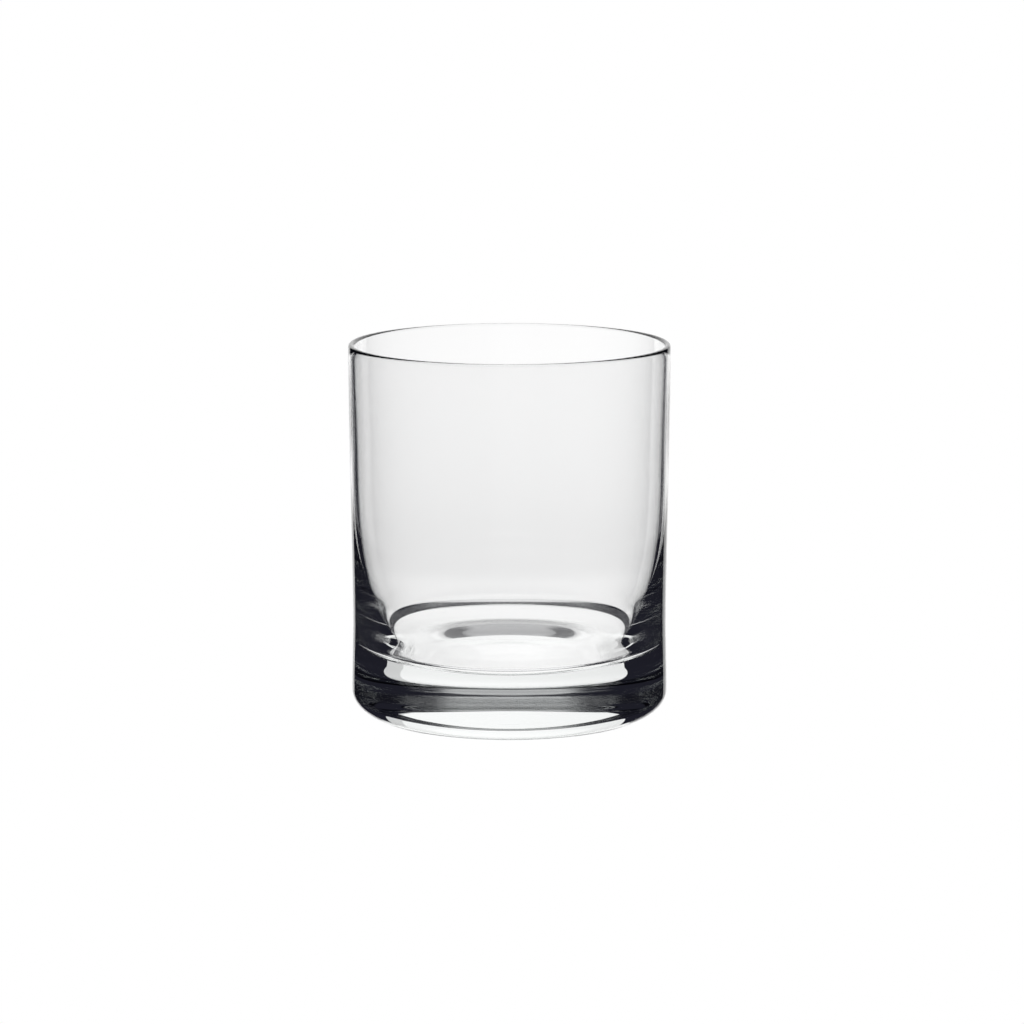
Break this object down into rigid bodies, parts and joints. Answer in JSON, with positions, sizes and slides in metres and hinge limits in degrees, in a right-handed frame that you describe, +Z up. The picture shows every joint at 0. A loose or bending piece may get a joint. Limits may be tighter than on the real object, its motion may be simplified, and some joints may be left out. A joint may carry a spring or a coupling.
{
  "type": "whiskey tumbler",
  "caption": "Straight-sided drinking tumbler of clear glass with a thick solid base, a thin rounded rim and a hollowed underside on a flat bearing ring.",
  "frame": {"origin": "centre of the plane the glass stands on", "axes": "+Z up along the axis of revolution; the glass is the same in every direction around +Z"},
  "size_m": [0.082, 0.082, 0.096],
  "materials": {
    "glass": "clear, fire-polished"
  },
  "bodies": {
    "root": {"tumbler": "glass"}
  },
  "joints": []
}
